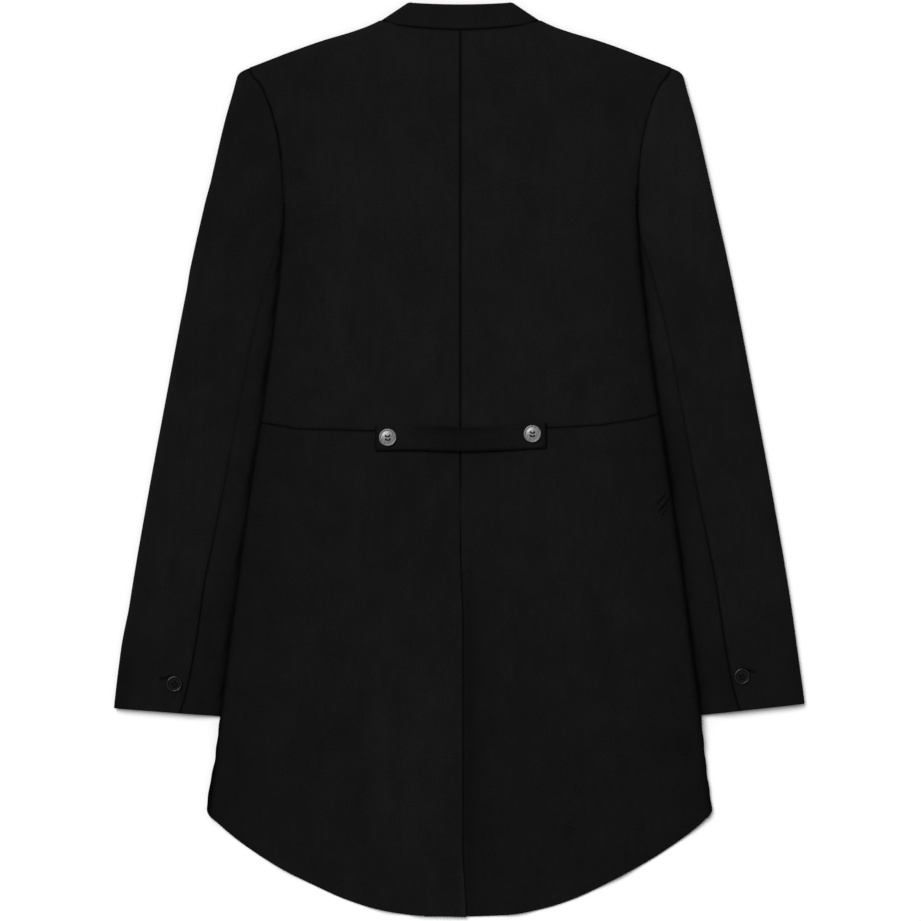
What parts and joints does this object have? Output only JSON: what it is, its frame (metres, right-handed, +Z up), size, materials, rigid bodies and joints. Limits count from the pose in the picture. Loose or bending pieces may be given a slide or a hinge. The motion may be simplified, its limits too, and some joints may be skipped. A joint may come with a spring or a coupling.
{
  "type": "tail coat of a business suit, laid face down",
  "caption": "Black wool tail coat with a band collar, half belt, centre vent and curved hem, laid flat face down.",
  "frame": {"origin": "middle of the coat's length and width, on the surface it lies on", "axes": "+X to the wearer's right sleeve, +Y from hem to collar, +Z up from the surface, out of the coat's back"},
  "size_m": [0.69, 0.9151, 0.0173],
  "materials": {
    "black_wool": "matte fulled wool cloth, black",
    "grey_pearl_button": "silver grey pearl resin, glossy, with a raised rim, a groove and a low dome",
    "black_gloss_button": "glossy black resin with a raised rim and a flat middle"
  },
  "bodies": {
    "root": {"back_left": "black_wool", "back_right": "black_wool", "back_skirt_left": "black_wool", "back_skirt_right": "black_wool", "front_left": "black_wool", "front_right": "black_wool", "front_skirt_left": "black_wool", "front_skirt_right": "black_wool", "sleeve_top_left": "black_wool", "sleeve_top_right": "black_wool", "sleeve_under_left": "black_wool", "sleeve_under_right": "black_wool", "collar": "black_wool", "half_belt": "black_wool", "belt_button_left": "grey_pearl_button", "belt_button_right": "grey_pearl_button", "cuff_button_left": "black_gloss_button", "cuff_button_right": "black_gloss_button"}
  },
  "joints": []
}
